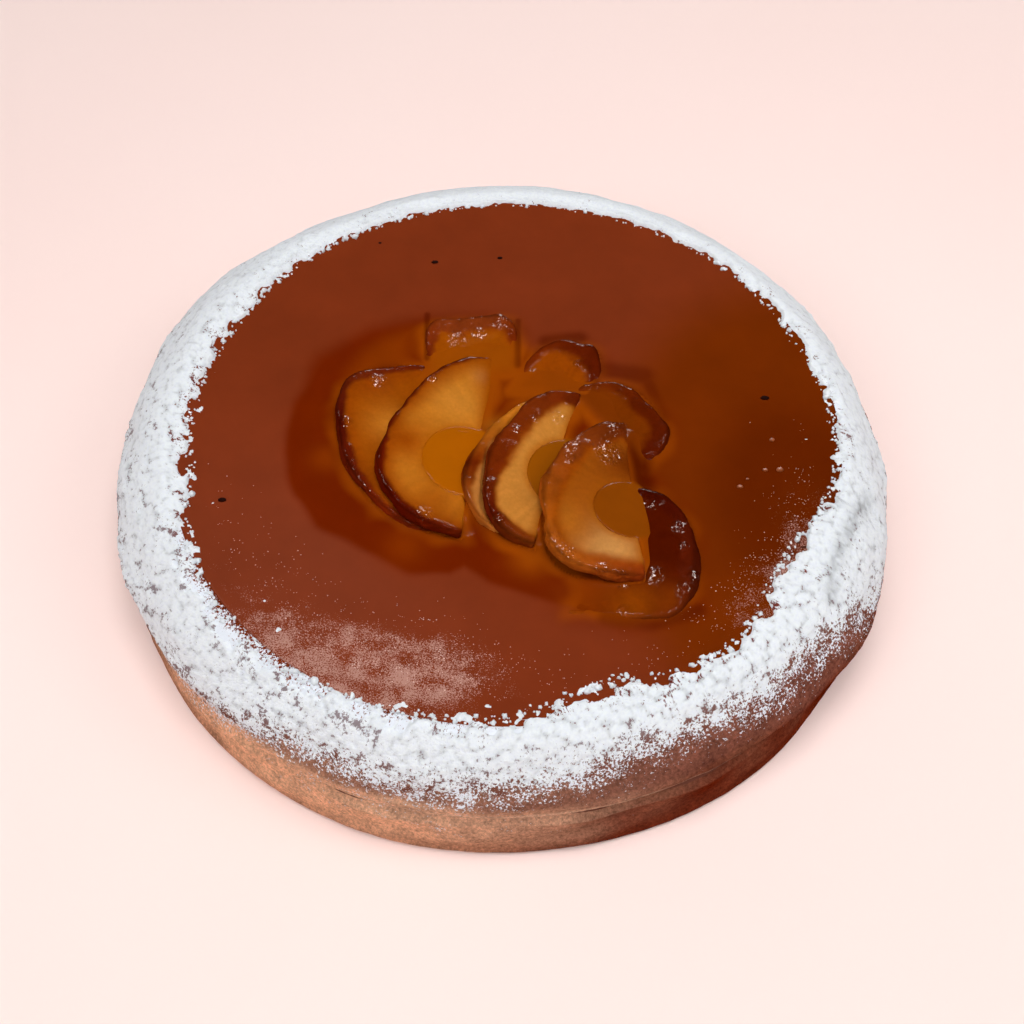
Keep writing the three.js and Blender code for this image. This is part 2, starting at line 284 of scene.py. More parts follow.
def hump(angle, direction, width):
    """Smooth hump of height 1 round a direction, in degrees."""
    away = (angle - direction + 540) % 360 - 180
    return np.exp(-(away / width) ** 2)


def total_growth(bulges, angle):
    return sum(growth * hump(angle, direction, width) for direction, width, growth in bulges)


def direction_of(points):
    return np.degrees(np.arctan2(points[:, 1], points[:, 0])) % 360


def radius_of(points):
    """Distance of each point from the tart's axis."""
    return np.hypot(points[:, 0], points[:, 1])


def random_cell(cells, seed):
    """A number from 0 to 1 for each row of whole numbers, always the same for the same row and seed."""
    mixed = np.full(len(cells), seed * 2654435761 % 2 ** 32, np.uint32)
    for column in cells.T:
        mixed = (mixed ^ column.astype(np.int64).astype(np.uint32)) * np.uint32(0x9E3779B1)
        mixed ^= mixed >> np.uint32(15)
    return mixed / 2.0 ** 32


def noise(points, size, seed):
    """Smooth noise from -1 to 1 with features of the given size."""
    points = np.asarray(points, float) / size
    low = np.floor(points)
    share = points - low
    share = share * share * (3 - 2 * share)
    dims = points.shape[1]
    value = np.zeros(len(points))
    for corner in range(2 ** dims):
        step = np.array([(corner >> k) & 1 for k in range(dims)])
        weight = np.prod(np.where(step == 1, share, 1 - share), axis=1)
        value += weight * random_cell(low + step, seed)
    return value * 2 - 1


def rough_noise(points, size, seed, octaves=3):
    """Noise with finer and finer detail added, about -1 to 1."""
    total = sum(noise(points, size / 2 ** k, seed + k) * 0.5 ** k for k in range(octaves))
    return total / sum(0.5 ** k for k in range(octaves))


def domes(points, size, seed, wrap):
    """Round-topped clumps, 1 at each top and 0 between them; the first axis repeats after "wrap"."""
    count = round(wrap / size)
    scaled = points / np.array([wrap / count, size])
    low = np.floor(scaled)
    nearest = np.full(len(points), 9.0)
    for dx in (-1, 0, 1):
        for dy in (-1, 0, 1):
            cell = low + (dx, dy)
            named = np.c_[cell[:, 0] % count, cell[:, 1]]
            centre = cell + 0.15 + 0.7 * np.c_[random_cell(named, seed), random_cell(named, seed + 77)]
            nearest = np.minimum(nearest, np.hypot(*(scaled - centre).T))
    return np.sqrt(np.clip(1 - (nearest / 0.85) ** 2, 0, 1))


def nearest_on_line(points, line):
    """Distance of each point to an open line, and how far along it the nearest spot is, from 0 to 1."""
    line = np.asarray(line, float)
    nearest = np.full(len(points), np.inf)
    along = np.zeros(len(points))
    for k, (a, b) in enumerate(zip(line[:-1], line[1:])):
        share = np.clip((points - a) @ (b - a) / max((b - a) @ (b - a), 1e-9), 0, 1)
        away = np.hypot(*(points - a - share[:, None] * (b - a)).T)
        along = np.where(away < nearest, (k + share) / (len(line) - 1), along)
        nearest = np.minimum(nearest, away)
    return nearest, along


def distance_to_line(points, line):
    return nearest_on_line(points, line)[0]


def is_inside(points, outline):
    """Whether each point lies inside a closed outline."""
    outline = np.asarray(outline, float)
    inside = np.zeros(len(points), bool)
    for a, b in zip(outline, np.roll(outline, -1, axis=0)):
        crosses = (a[1] > points[:, 1]) != (b[1] > points[:, 1])
        rise = b[1] - a[1] if abs(b[1] - a[1]) > 1e-9 else 1e-9
        inside ^= crosses & (points[:, 0] < a[0] + (points[:, 1] - a[1]) * (b[0] - a[0]) / rise)
    return inside


def distance_outside(points, outline):
    """Distance of each point to a closed outline, negative for points inside."""
    away = distance_to_line(points, np.vstack([outline, outline[:1]]))
    return np.where(is_inside(points, outline), -away, away)


# Helpers for meshes

def new_object(name, data):
    """An object of the scene with a mesh, a camera or a light."""
    thing = bpy.data.objects.new(name, data)
    bpy.context.scene.collection.objects.link(thing)
    return thing


def new_piece(name, points_mm, faces, material):
    """A smooth mesh object from points in mm, riding on the tart's body."""
    mesh = bpy.data.meshes.new(name)
    mesh.from_pydata((np.asarray(points_mm) * MM).tolist(), [], faces)
    return new_piece_of_mesh(name, mesh, material)


def new_piece_of_mesh(name, mesh, material):
    mesh.polygons.foreach_set("use_smooth", [True] * len(mesh.polygons))
    mesh.materials.append(material)
    mesh.update()
    piece = new_object(name, mesh)
    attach(piece, BODY)
    return piece


def store(piece, name, kind, field, values):
    """Keeps a value for each point of a piece, for its material."""
    layer = piece.data.attributes.new(name, kind, "POINT")
    layer.data.foreach_set(field, np.asarray(values, np.float32).ravel())


def store_colour(piece, name, colours):
    store(piece, name, "FLOAT_COLOR", "color", np.c_[colours, np.ones(len(colours))])


def store_places(piece, name, places_mm):
    store(piece, name, "FLOAT_VECTOR", "vector", np.asarray(places_mm) * MM)


def store_number(piece, name, values):
    store(piece, name, "FLOAT", "value", values)


def ring_faces(around, across, closed=False):
    """Quads of a ring with "across" points in each of its "around" rows, which may be closed loops too."""
    row = np.arange(around)[:, None] * across
    following = np.roll(np.arange(around), -1)[:, None] * across
    k = np.arange(across if closed else across - 1)[None, :]
    beside = (k + 1) % across
    quads = np.stack([row + k, following + k, following + beside, row + beside], axis=-1)
    return quads.reshape(-1, 4).tolist()


def closed_ring(points, across, low, high):
    """Points and faces of a ring whose rows all start at one middle point and end at another."""
    around, count = len(points) // across, len(points)
    first = np.arange(around) * across
    following = np.roll(first, -1)
    under = np.c_[np.full(around, count), following, first]
    over = np.c_[np.full(around, count + 1), first + across - 1, following + across - 1]
    return np.vstack([points, low, high]), ring_faces(around, across) + under.tolist() + over.tolist()


def turned_points(angles, profiles):
    """Points of profiles that stand in the given directions, in one long list."""
    a = np.radians(angles)[:, None]
    r, z = profiles[..., 0], profiles[..., 1]
    return np.stack([r * np.cos(a), r * np.sin(a), z], axis=-1).reshape(-1, 3)


def ball_shape(subdivisions):
    """Points and triangles of a round ball of radius 1."""
    shape = bmesh.new()
    bmesh.ops.create_icosphere(shape, subdivisions=subdivisions, radius=1)
    points = np.array([v.co for v in shape.verts])
    faces = [[v.index for v in f.verts] for f in shape.faces]
    shape.free()
    return points, faces


def scattered(base_points, base_faces, centres, scales):
    """One mesh of many copies: points and faces of a small shape at each centre, scaled by its row."""
    points = centres[:, None, :] + base_points[None, :, :] * scales
    first = np.arange(len(centres))[:, None, None] * len(base_points)
    faces = np.asarray(base_faces)[None, :, :] + first
    return points.reshape(-1, 3), faces.reshape(-1, 3).tolist()


# Helpers for materials

class Shader:
    """A material with one surface shader, and short ways to add nodes to it."""

    def __init__(self, name, **settings):
        self.material = bpy.data.materials.new(name)
        self.material.use_nodes = True
        self.tree = self.material.node_tree
        self.surface = self.tree.nodes["Principled BSDF"]
        for socket, value in settings.items():
            self.surface.inputs[socket.replace("_", " ")].default_value = value
        self.place = self.tree.nodes.new("ShaderNodeTexCoord").outputs["Object"]

    def feed(self, socket, value):
        """Links a socket to another node's output, or sets it to a plain value."""
        if isinstance(value, bpy.types.NodeSocket):
            self.tree.links.new(value, socket)
        else:
            socket.default_value = value

    def add(self, kind, **inputs):
        node = self.tree.nodes.new(kind)
        for name, value in inputs.items():
            self.feed(node.inputs[name.replace("_", " ")], value)
        return node

    def attribute(self, name, output):
        node = self.add("ShaderNodeAttribute")
        node.attribute_name = name
        return node.outputs[output]

    def noise(self, size_mm, detail=3.0, roughness=0.55, place=None):
        texture = self.add("ShaderNodeTexNoise", Vector=place or self.place, Scale=1 / (size_mm * MM),
                           Detail=detail, Roughness=roughness)
        return texture.outputs["Fac"]

    def math(self, operation, *values):
        node = self.tree.nodes.new("ShaderNodeMath")
        node.operation = operation
        for socket, value in zip(node.inputs, values):
            self.feed(socket, value)
        return node.outputs[0]

    def ramp(self, value, low, high, to_low=0.0, to_high=1.0):
        node = self.add("ShaderNodeMapRange", Value=value, From_Min=low, From_Max=high,
                        To_Min=to_low, To_Max=to_high)
        return node.outputs[0]

    def mix(self, share, first, second, blend_type="MIX"):
        node = self.tree.nodes.new("ShaderNodeMix")
        node.data_type = "RGBA"
        node.blend_type = blend_type
        for socket, value in ((node.inputs[0], share), (node.inputs[6], first), (node.inputs[7], second)):
            self.feed(socket, value)
        return node.outputs[2]

    def times(self, colour, factor):
        return self.mix(1.0, colour, factor, "MULTIPLY")

    def uneven(self, size_mm, least, most, detail=3.0, roughness=0.55):
        """Noise that varies between two factors."""
        return self.ramp(self.noise(size_mm, detail, roughness), 0.3, 0.7, least, most)

    def stipple(self, share, grain_mm, place=None):
        """Specks that cover about the given share of a surface."""
        grains, patches = self.noise(grain_mm, 4, 0.7, place), self.noise(5, 2, 0.5, place)
        level = self.math("MULTIPLY_ADD", share, 0.8, -2.0)
        level = self.math("MULTIPLY_ADD", grains, 2.4, level)
        level = self.math("MULTIPLY_ADD", patches, 0.8, level)
        return self.ramp(level, -0.05, 0.07)

    def bump(self, height, distance_mm):
        node = self.add("ShaderNodeBump", Height=height, Distance=distance_mm * MM)
        self.join(node.outputs[0], "Normal")

    def join(self, output, socket):
        self.tree.links.new(output, self.surface.inputs[socket])


# Crust

def dough_relief(angle, z):
    a = np.radians(angle)
    broad = np.sin(9 * a + 0.35 * z) + np.sin(16 * a - 0.5 * z + 1.3)
    return DOUGH_RELIEF * (broad + 0.7 * np.sin(23 * a + 2.1))


def crack_depth(angle):
    """Depth of the crack that runs across the rim at the right."""
    return CRACK_DEPTH * hump(angle, *CRACK_SPAN)


def crust_profile(angle, wall_steps=16, ledge_steps=4, shoulder_steps=44):
    """Radius and height of the crust's outline in one direction, from the foot to the recess floor."""
    growth = total_growth(RIM_BULGES, angle)
    foot = BASE_RADIUS + total_growth(FOOT_BULGES, angle)
    wall = foot - WALL_LEAN
    shoulder = BASE_RADIUS + SHOULDER_GROWTH + growth
    shoulder_low = WALL_HEIGHT + LEDGE_HEIGHT
    crest = RIM_CREST_RADIUS + CREST_SHARE_OF_GROWTH * growth
    crack = crack_depth(angle)
    crease = LEDGE_CREASE * max(CREASE_LEAST_SHARE, hump(angle, *CREASE_SPAN))
    points = [(foot - FOOT_ROUND, 0), (foot - FOOT_ROUND / 2, FOOT_ROUND * 0.4), (foot, FOOT_ROUND * 1.4)]
    for z in np.linspace(FOOT_ROUND * 2.5, WALL_HEIGHT - CREASE_HALF_HEIGHT, wall_steps):
        points.append((wall + WALL_LEAN * (1 - z / WALL_HEIGHT) ** 2 + dough_relief(angle, z), z))
    points.append((min(wall, shoulder) - crease, WALL_HEIGHT))
    for share in np.linspace(1, 0, ledge_steps, endpoint=False):
        z = shoulder_low - (LEDGE_HEIGHT - CREASE_HALF_HEIGHT) * share
        points.append((shoulder - 0.4 * crease * share, z))
    for t in np.linspace(0, math.pi / 2, shoulder_steps):
        r = crest + (shoulder - crest) * max(math.cos(t), 0) ** SHOULDER_FULLNESS
        z = shoulder_low + (RIM_HEIGHT - shoulder_low) * math.sin(t) ** SHOULDER_FULLNESS
        points.append((r + dough_relief(angle, z) * math.cos(t), z - crack * math.sin(t)))
    points.append((JELLY_RADIUS + 2, RIM_HEIGHT - 0.5 - crack))
    points.append((JELLY_RADIUS + 0.1, JELLY_LEVEL - 0.4))
    points.append((JELLY_RADIUS + 0.1, RECESS_FLOOR))
    return np.array(points)


def distance_from_jelly(profiles):
    """Distance along each profile outwards from the jelly's edge, which is its last point but one."""
    steps = np.linalg.norm(np.diff(profiles, axis=1), axis=2)
    from_foot = np.concatenate([np.zeros((len(profiles), 1)), np.cumsum(steps, axis=1)], axis=1)
    return from_foot[:, -2:-1] - from_foot


def crust_colours(points):
    """Baked dough: gold on the left and brown on the right, partly its own colour and partly painted light
    from the left; floury in front and on its ledge, with a painted highlight and some flour along the ledge's
    top, and painted shade towards the foot.
    """
    angle = direction_of(points)
    z = points[:, 2]
    gold_and_light = hump(angle, *GOLDEN_AND_LIT_LEFT) * smoothstep(*GOLD_AND_LIGHT_END, angle) + 0.22 * hump(angle, *GOLDEN_BACK)
    gold_and_light = gold_and_light + 0.03 + 0.08 * noise(points, 14, 6)
    colours = toward(seen(DOUGH_BROWN_AND_SHADE), DOUGH_GOLD, np.clip(gold_and_light, 0, 1))
    floury = 0.5 * hump(angle, *FLOURY_FRONT) * smoothstep(1, 9, z)
    ledge = 0.85 * hump(angle, *PALE_LEDGE) * smoothstep(WALL_HEIGHT - 3, WALL_HEIGHT - 1, z)
    pale = np.maximum(floury, ledge) * (1 + 0.4 * noise(points, 8, 5))
    colours = toward(colours, DOUGH_FLOURY, np.clip(pale, 0, 0.9))
    # Painted shade: the wall turns darker towards its foot
    colours = toward(colours, DOUGH_BROWN_AND_SHADE, 0.4 * smoothstep(9, 0, z))
    # Painted highlight, with some flour, in a pale line along the top of the ledge
    line = np.exp(-((z - WALL_HEIGHT - CREASE_HALF_HEIGHT) / 0.7) ** 2)
    colours = toward(colours, LEDGE_HIGHLIGHT_PALE, 0.6 * hump(angle, *LEDGE_HIGHLIGHT_LINE) * line)
    under_sugar = smoothstep(WALL_HEIGHT + 3, WALL_HEIGHT + 7, z)
    colours = toward(colours, GAP_ON_SLOPE, 0.8 * under_sugar)
    caramel = smoothstep(RIM_CREST_RADIUS + 3, RIM_CREST_RADIUS, radius_of(points))
    return toward(colours, GLAZE_LEFT, caramel * smoothstep(30, 34, z))


def sugar_specks(shader):
    """Share of white between the sugar's grains, from the values stored in a piece."""
    place = shader.attribute("grain_place", "Vector")
    return shader.stipple(shader.attribute("sugar", "Fac"), SUGAR_GRAIN, place)


def crust_material():
    shader = Shader("baked_dough", Roughness=0.85, Specular_IOR_Level=0.0)
    tint = shader.times(shader.attribute("tint", "Color"), shader.uneven(1.0, 0.45, 1.55, 5, 0.75))
    tint = shader.times(tint, shader.uneven(6, 0.8, 1.2))
    shader.join(shader.mix(sugar_specks(shader), tint, rgba(SUGAR_GREY)), "Base Color")
    shader.bump(shader.noise(0.9, 5, 0.7), 0.4)
    return shader.material


def make_crust():
    angles = np.linspace(0, 360, CRUST_AROUND, endpoint=False)
    profiles = np.array([crust_profile(a) for a in angles])
    across = profiles.shape[1]
    points = turned_points(angles, profiles)
    beyond_jelly = smoothstep(JELLY_RADIUS + 1, JELLY_RADIUS + 4, radius_of(points))
    outside = smoothstep(0.5, 3, points[:, 2]) * beyond_jelly
    swell = 0.3 * rough_noise(points, 7, 11) + 0.14 * noise(points, 1.6, 12)
    points[:, :2] *= (1 + outside * swell / BASE_RADIUS)[:, None]
    angle, outwards = np.repeat(angles, across), distance_from_jelly(profiles).ravel()
    dust = crust_dust(angle, outwards, points[:, 2])
    places = grain_places(angle, outwards)
    points, faces = closed_ring(points, across, (0, 0, 0), (0, 0, RECESS_FLOOR))
    crust = new_piece("baked_crust", points, faces, crust_material())
    store_colour(crust, "tint", crust_colours(points))
    store_number(crust, "sugar", np.r_[dust, NO_DUST, NO_DUST])
    store_places(crust, "grain_place", np.vstack([places, points[-2:]]))
    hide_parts("crust")


# Icing sugar

def sugar_end(angle):
    return SUGAR_END + total_growth(SUGAR_END_BULGES, angle)


def sugar_rising(angle, across):
    """How far the sugar has closed up at a distance outwards from the jelly, from 0 to 1."""
    start = SUGAR_START + total_growth(SUGAR_START_BULGES, angle)
    inner = SUGAR_INNER_EDGE + total_growth(SUGAR_INNER_EDGE_BULGES, angle)
    return smoothstep(start - inner / 2, start + inner / 2, across)


def sugar_thinning(angle, across):
    """How much sugar is left outwards along the slope, from 1 to 0."""
    end = sugar_end(angle)
    return smoothstep(end + SUGAR_THINS_AFTER, end - SUGAR_THINS_BEFORE, across)


def crust_dust(angle, across, z):
    """Share of sugar on the crust itself: in the gaps of the coat, below it, and a little on the wall."""
    loose = 0.3 + 0.2 * hump(angle, *LOOSE_SUGAR)
    on_slope = sugar_thinning(angle, across) * (loose + (1 - loose) * sugar_rising(angle, across))
    lingering = 0.54 * hump(angle, *LINGERING_SUGAR) * smoothstep(28, 22, across) * smoothstep(4, 10, across)
    on_slope = np.maximum(on_slope, lingering)
    on_wall = 0.36 * hump(angle, *DUSTED_WALL) * smoothstep(2, 14, z)
    return NO_DUST + (FULL_DUST - NO_DUST) * np.maximum(on_slope, on_wall)


def jelly_cling(angle, from_axis):
    """How far the jelly's surface rises along the rim's inner slope, and sinks into the rim's crack."""
    crack = crack_depth(angle) * smoothstep(JELLY_RADIUS - 1, JELLY_RADIUS + 2, from_axis)
    return JELLY_CLING_RISE * smoothstep(JELLY_CLING_START, JELLY_CLING_END, from_axis) - crack


def rim_path(angles, steps):
    """Radius and height on the jelly and over the rim, at steps outwards from the jelly's edge.

    The steps are one row for all directions, or a row for each.
    """
    inmost = SUGAR_INSIDE - 2
    on_jelly = np.r_[JELLY_RADIUS + inmost, np.linspace(JELLY_CLING_START, JELLY_CLING_END, 6)]
    rows = []
    for angle, row in zip(angles, np.broadcast_to(steps, (len(angles), np.shape(steps)[-1]))):
        jelly = np.c_[on_jelly, JELLY_LEVEL + jelly_cling(angle, on_jelly)]
        path = np.vstack([jelly, crust_profile(angle, 4, 2, 24)[-4::-1]])
        travelled = np.r_[0, np.cumsum(np.hypot(*np.diff(path, axis=0).T))] + inmost
        rows.append(np.c_[np.interp(row, travelled, path[:, 0]), np.interp(row, travelled, path[:, 1])])
    return np.array(rows)


def raised_rim(angles, steps, height):
    """Points that stand a height, one for each pair of direction and step, over the jelly and the rim."""
    path = rim_path(angles, steps)
    slope = rim_path(angles, steps + 0.1) - rim_path(angles, steps - 0.1)
    normal = np.stack([-slope[..., 1], slope[..., 0]], axis=-1)
    normal /= np.linalg.norm(normal, axis=-1, keepdims=True)
    return turned_points(angles, path + normal * height.reshape(len(angles), -1, 1))


def ring_places(angle, across):
    """Places in a space where noise has no seam round the rim."""
    a = np.radians(angle)
    return np.c_[RIM_MIDDLE_RADIUS * np.cos(a), RIM_MIDDLE_RADIUS * np.sin(a), across]


def grain_places(angle, across):
    """Places for the noise of the grains, drawn out at the front right but not at the sugar's end."""
    squeeze = 1 / (1 + 0.8 * hump(angle, *DRAWN_OUT_GRAINS))
    beyond = np.maximum(across - sugar_end(angle) + 8, 0)
    return ring_places(angle, across * squeeze + beyond * (1 - squeeze))


def sugar_lumps(angle, across):
    """Clumps of the coat, from 0 between them to 1 at their tops."""
    wrap = 2 * math.pi * RIM_MIDDLE_RADIUS
    flat = np.c_[angle / 360 * wrap, across]
    ring = ring_places(angle, across)
    flat = flat + 0.7 * np.c_[noise(ring, 2.0, 25), noise(ring, 2.0, 26)]
    return 0.6 * domes(flat, 3.0, 3, wrap) + 0.4 * domes(flat, 1.3, 4, wrap)


def sugar_height(angle, across):
    """Height of the sugar over the crust: clumps that close up outwards, below the crust where it is bare."""
    ring = ring_places(angle, across)
    lumps = sugar_lumps(angle, across)
    thinning = sugar_thinning(angle, across) + 0.12 * noise(ring, 1.2, 22)
    broad = 0.85 - 0.5 * hump(angle, *EVEN_BACK)
    clumped = broad * noise(ring, 4.0, 23) + 0.35 * noise(ring, 1.5, 24) + 0.6 * (lumps - 0.6)
    worth = 1.7 * (sugar_rising(angle, across) - 0.5) + 0.9 * clumped
    whole = smoothstep(0, 0.35, worth) * smoothstep(0.6, 0.95, thinning)
    bare = np.maximum(smoothstep(0.02, -0.15, worth), smoothstep(0.65, 0.5, thinning))
    swell = 0.4 * noise(ring, 7, 27) + 0.5 * smoothstep(0.9, 0.4, worth)
    return SUGAR_THICKNESS * (0.2 + 0.8 * lumps + swell) * whole - 0.8 * bare


def sugar_closeness(angle, across):
    """Share of white in the coat: nearly all of it, with pits between its clumps, grey with painted shade
    amid the sugar, and a thin edge.
    """
    ring = ring_places(angle, across)
    at_back = hump(angle, *CLOSE_BACK)
    clusters = smoothstep(0.0, 0.6, noise(ring, 5, 28) + 0.35 * hump(angle, *PITTED_LEFT) - 0.3 * at_back)
    # Pits between the clumps, which show painted grey shade
    shade_between_clumps = smoothstep(0.86, 0.6, sugar_lumps(angle, across)) * (1 - 0.7 * at_back)
    by_jelly = smoothstep(1.0, 0.7, sugar_rising(angle, across))
    close = 1.28 - 0.3 * clusters - 0.62 * shade_between_clumps - 0.2 * by_jelly
    return NO_DUST + (close - NO_DUST) * sugar_thinning(angle, across)


def sugar_shade(points, angle, across):
    """Light left between the coat's clumps, least dimmed at the back, and in its fold."""
    shade_between_clumps = smoothstep(0.92, 0.55, sugar_lumps(angle, across)) * (1 - 0.85 * hump(angle, *CLOSE_BACK))
    fold = np.exp(-(distance_to_line(points[:, :2], SUGAR_FOLD) / 2.2) ** 2)
    fold = fold * (0.6 + 0.4 * noise(ring_places(angle, across), 1.0, 29))
    return 1 - 0.32 * shade_between_clumps - 0.45 * fold


def gap_colours(angle, across):
    """Colour between the grains: caramel by the jelly, grey painted shade amid the sugar, brown on the outer
    slope.
    """
    colours = toward(seen(GAP_BY_JELLY), GAP_SHADE_AMID_SUGAR, smoothstep(2, 9, across))
    end = sugar_end(angle)
    return toward(colours, GAP_ON_SLOPE, smoothstep(end - 10, end - 2, across))


def sugar_material():
    shader = Shader("icing_sugar", Roughness=0.95, Specular_IOR_Level=0.0)
    grain = shader.noise(0.9, 4, 0.7)
    white = shader.mix(shader.ramp(grain, 0.35, 0.6), rgba(SUGAR_GREY), rgba(SUGAR_WHITE))
    white = shader.times(white, shader.attribute("shade", "Fac"))
    shader.join(shader.mix(sugar_specks(shader), shader.attribute("gap", "Color"), white), "Base Color")
    shader.bump(grain, 0.5)
    return shader.material


def store_sugar(piece, closeness, shade, gaps, places):
    """Keeps what the sugar's material needs at each point."""
    store_number(piece, "sugar", closeness)
    store_number(piece, "shade", shade)
    store_colour(piece, "gap", gaps)
    store_places(piece, "grain_place", places)


def make_sugar_coat(material):
    """A closed shell: its upper side from the outer to the inner edge, then its underside in the crust."""
    angles = np.linspace(0, 360, COAT_AROUND, endpoint=False)
    upper = np.linspace(SUGAR_OUTSIDE, SUGAR_INSIDE, COAT_ACROSS)
    lower = np.linspace(SUGAR_INSIDE, SUGAR_OUTSIDE, COAT_ACROSS_BELOW)
    steps = np.r_[upper, lower]
    angle, across = np.repeat(angles, len(steps)), np.tile(steps, len(angles))
    is_upper = np.tile(np.arange(len(steps)) < len(upper), len(angles))
    height = np.where(is_upper, sugar_height(angle, across), SUGAR_UNDERSIDE)
    points = raised_rim(angles, steps, height)
    faces = ring_faces(len(angles), len(steps), closed=True)
    coat = new_piece("icing_sugar_coat", points, faces, material)
    store_sugar(coat, sugar_closeness(angle, across), sugar_shade(points, angle, across),
                gap_colours(angle, across), grain_places(angle, across))


def make_sugar_clumps(material, rng):
    """Loose lumps of sugar along the ragged inner edge."""
    angles = rng.uniform(0, 360, CLUMP_TRIES)
    across = rng.uniform(SUGAR_INSIDE, 14, CLUMP_TRIES)
    wanted = np.clip(1 - abs(sugar_rising(angles, across) - 0.28) / 0.2, 0, 1)
    kept = rng.uniform(0, 1, CLUMP_TRIES) < wanted
    angles, across = angles[kept], across[kept]
    count = len(angles)
    radius = rng.uniform(0.15, 0.4, count) + 0.6 * rng.uniform(0, 1, count) ** 4
    base, faces = ball_shape(2)
    stretch = rng.uniform(0.6, 1.3, (count, 1, 3))
    uneven = 1 + 0.4 * rng.uniform(-1, 1, (count, len(base), 1))
    centres = raised_rim(angles, across[:, None], 0.3 * radius)
    points, faces = scattered(base, faces, centres, radius[:, None, None] * stretch * uneven)
    clumps = new_piece("icing_sugar_clumps", points, faces, material)
    every = np.ones(len(points))
    store_sugar(clumps, FULL_DUST * every, every, seen(GAP_BY_JELLY) * every[:, None], points)


def jelly_dust(points):
    """How thickly fine sugar lies on the jelly: in a patch in front, and by the rim at the left and right."""
    angle, from_axis = direction_of(points), radius_of(points)
    from_patch = (points[:, :2] - DUST_PATCH_CENTRE) / DUST_PATCH_REACH
    patch = np.exp(-np.sum(from_patch ** 2, axis=1))
    left = hump(angle, *DUSTED_JELLY_LEFT) * smoothstep(66, 96, from_axis)
    right = hump(angle, *DUSTED_JELLY_RIGHT) * smoothstep(72, 96, from_axis)
    return np.clip(0.62 * patch + 0.7 * left + 0.68 * right, 0, 0.75)


def make_sugar_grains(material, rng):
    """Single grains on the jelly, in faint streaks."""
    spread = rng.uniform(-JELLY_RADIUS, JELLY_RADIUS, (GRAIN_TRIES, 2))
    streaks = 0.5 + 0.9 * noise(spread / DUST_STREAK_STRETCH, 2.2, 31)
    wanted = 0.7 * jelly_dust(spread) ** 1.4 * np.clip(streaks, 0, 1.4)
    kept = rng.uniform(0, 1, GRAIN_TRIES) < wanted
    spread = spread[kept & (radius_of(spread) < JELLY_RADIUS)]
    count = len(spread)
    centres = np.c_[spread, np.full(count, JELLY_LEVEL + 0.1)]
    base = np.vstack([np.eye(3), -np.eye(3)])
    faces = [(0, 1, 2), (1, 3, 2), (3, 4, 2), (4, 0, 2), (1, 0, 5), (3, 1, 5), (4, 3, 5), (0, 4, 5)]
    sizes = 0.07 + 0.08 * rng.uniform(0, 1, count) + 0.12 * rng.uniform(0, 1, count) ** 4
    points, faces = scattered(base, faces, centres, sizes[:, None, None])
    new_piece("icing_sugar_grains", points, faces, material)


def grain_material():
    shader = Shader("damp_sugar_grains", Roughness=0.6, Specular_IOR_Level=0.3)
    shade = shader.ramp(shader.noise(3, 2), 0.35, 0.65)
    shader.join(shader.mix(shade, rgba(DUST_GRAIN_DARK), rgba(DUST_GRAIN_LIGHT)), "Base Color")
    return shader.material


# Apple slices

def slice_turn(spec):
    """Rotation from a slice's own frame to the tart's."""
    turn = Matrix.Rotation(math.radians(spec["turn"]), 3, "Z")
    tilt = Matrix.Rotation(math.radians(spec["tilt"]), 3, "X")
    slope = Matrix.Rotation(math.radians(spec["slope"]), 3, "Y")
    return np.array(turn @ tilt @ slope)


def skin_line(spec, steps=50):
    """Points of the skin edge in the slice's own frame."""
    t = np.linspace(0, math.pi, steps)
    sine = np.clip(np.sin(t), 0, 1)
    along = spec["half_length"] * np.sign(np.cos(t)) * abs(np.cos(t)) ** spec["round"]
    return np.c_[along + spec["skew"] * sine ** 2, spec["depth"] * sine ** spec["round"]]


def core_line(spec, steps=20):
    """Points of the straight cut and of the core's notch in the slice's own frame."""
    left, right = (-spec["half_length"], 0), (spec["half_length"], 0)
    if "notch" not in spec:
        return np.array([left, right], float)
    along, inward, radius = spec["notch"]
    reach = math.pi / 2 + math.asin(inward / radius)
    t = math.pi / 2 + reach * np.linspace(1, -1, steps)
    notch = np.c_[along + radius * np.cos(t), inward + radius * np.sin(t)]
    return np.vstack([left, notch, right])


def fine_mesh_of(node):
    """A smooth, finely divided copy of a solid's mesh."""
    copy = new_object(node + "_fine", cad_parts[node].data.copy())
    remesh = copy.modifiers.new("even_faces", "REMESH")
    remesh.mode = "VOXEL"
    remesh.voxel_size = SLICE_VOXEL * MM
    soften = copy.modifiers.new("soften", "SMOOTH")
    soften.factor = 0.5
    soften.iterations = 10
    evaluated = copy.evaluated_get(bpy.context.evaluated_depsgraph_get())
    mesh = bpy.data.meshes.new_from_object(evaluated)
    mesh.materials.clear()
    bpy.data.objects.remove(copy)
    keep_largest_part(mesh)
    return mesh


def keep_largest_part(mesh):
    """Removes all parts of a mesh that are not joined to its largest part."""
    shape = bmesh.new()
    shape.from_mesh(mesh)
    unseen = set(shape.verts)
    parts = []
    while unseen:
        part = [unseen.pop()]
        for vert in part:
            beside = {edge.other_vert(vert) for edge in vert.link_edges} & unseen
            unseen -= beside
            part.extend(beside)
        parts.append(part)
    parts.sort(key=len)
    loose = [vert for part in parts[:-1] for vert in part]
    bmesh.ops.delete(shape, geom=loose, context="VERTS")
    shape.to_mesh(mesh)
    shape.free()


